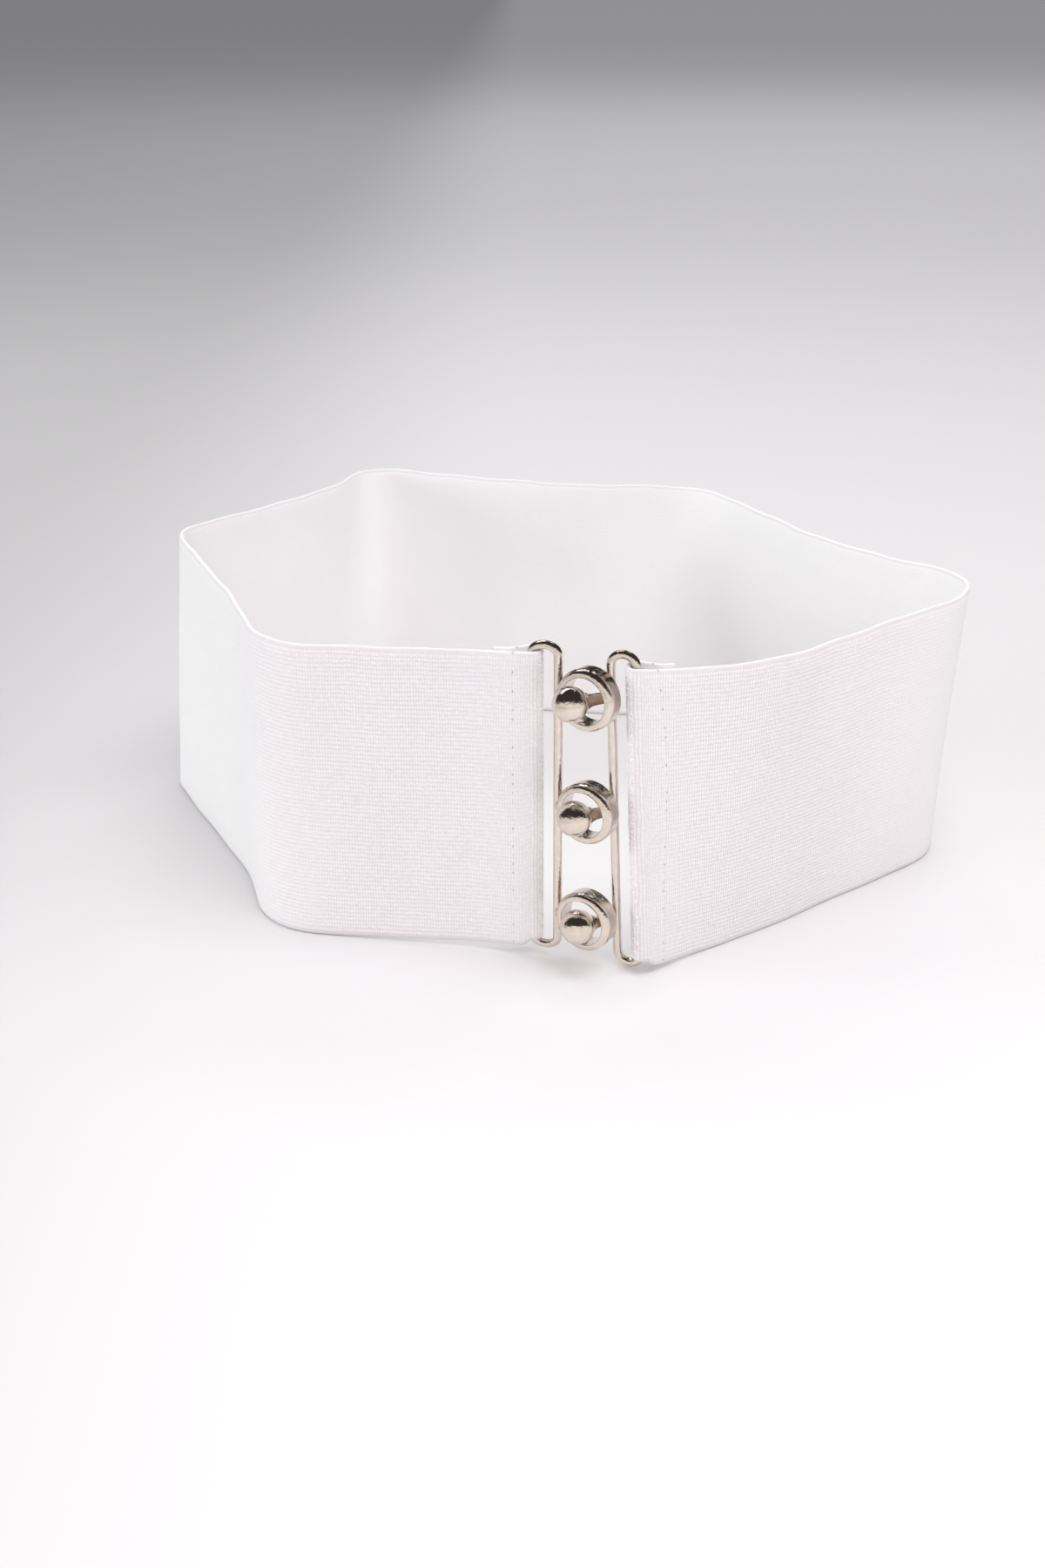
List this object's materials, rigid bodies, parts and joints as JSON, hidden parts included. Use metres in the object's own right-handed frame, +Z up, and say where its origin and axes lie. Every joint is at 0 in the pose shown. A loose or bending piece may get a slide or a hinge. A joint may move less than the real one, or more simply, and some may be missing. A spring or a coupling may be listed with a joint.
{
  "type": "elastic waist belt",
  "caption": "Wide elastic waist belt in a closed loop, fastened at the front by a metal clasp of balls hooked into rings.",
  "frame": {"origin": "on the floor, below the middle of the belt's bounding box", "axes": "+Z up, the belt stands on its edge; the clasp is at the front, towards -Y; +X runs from the ring frame's side to the ball frame's side"},
  "size_m": [0.2152, 0.1898, 0.0814],
  "materials": {
    "elastic": "ribbed woven elastic, matte",
    "clasp_metal": "polished pale nickel plating"
  },
  "bodies": {
    "root": {"elastic_band": "elastic", "ring_frame": "clasp_metal", "ball_frame": "clasp_metal"}
  },
  "joints": []
}
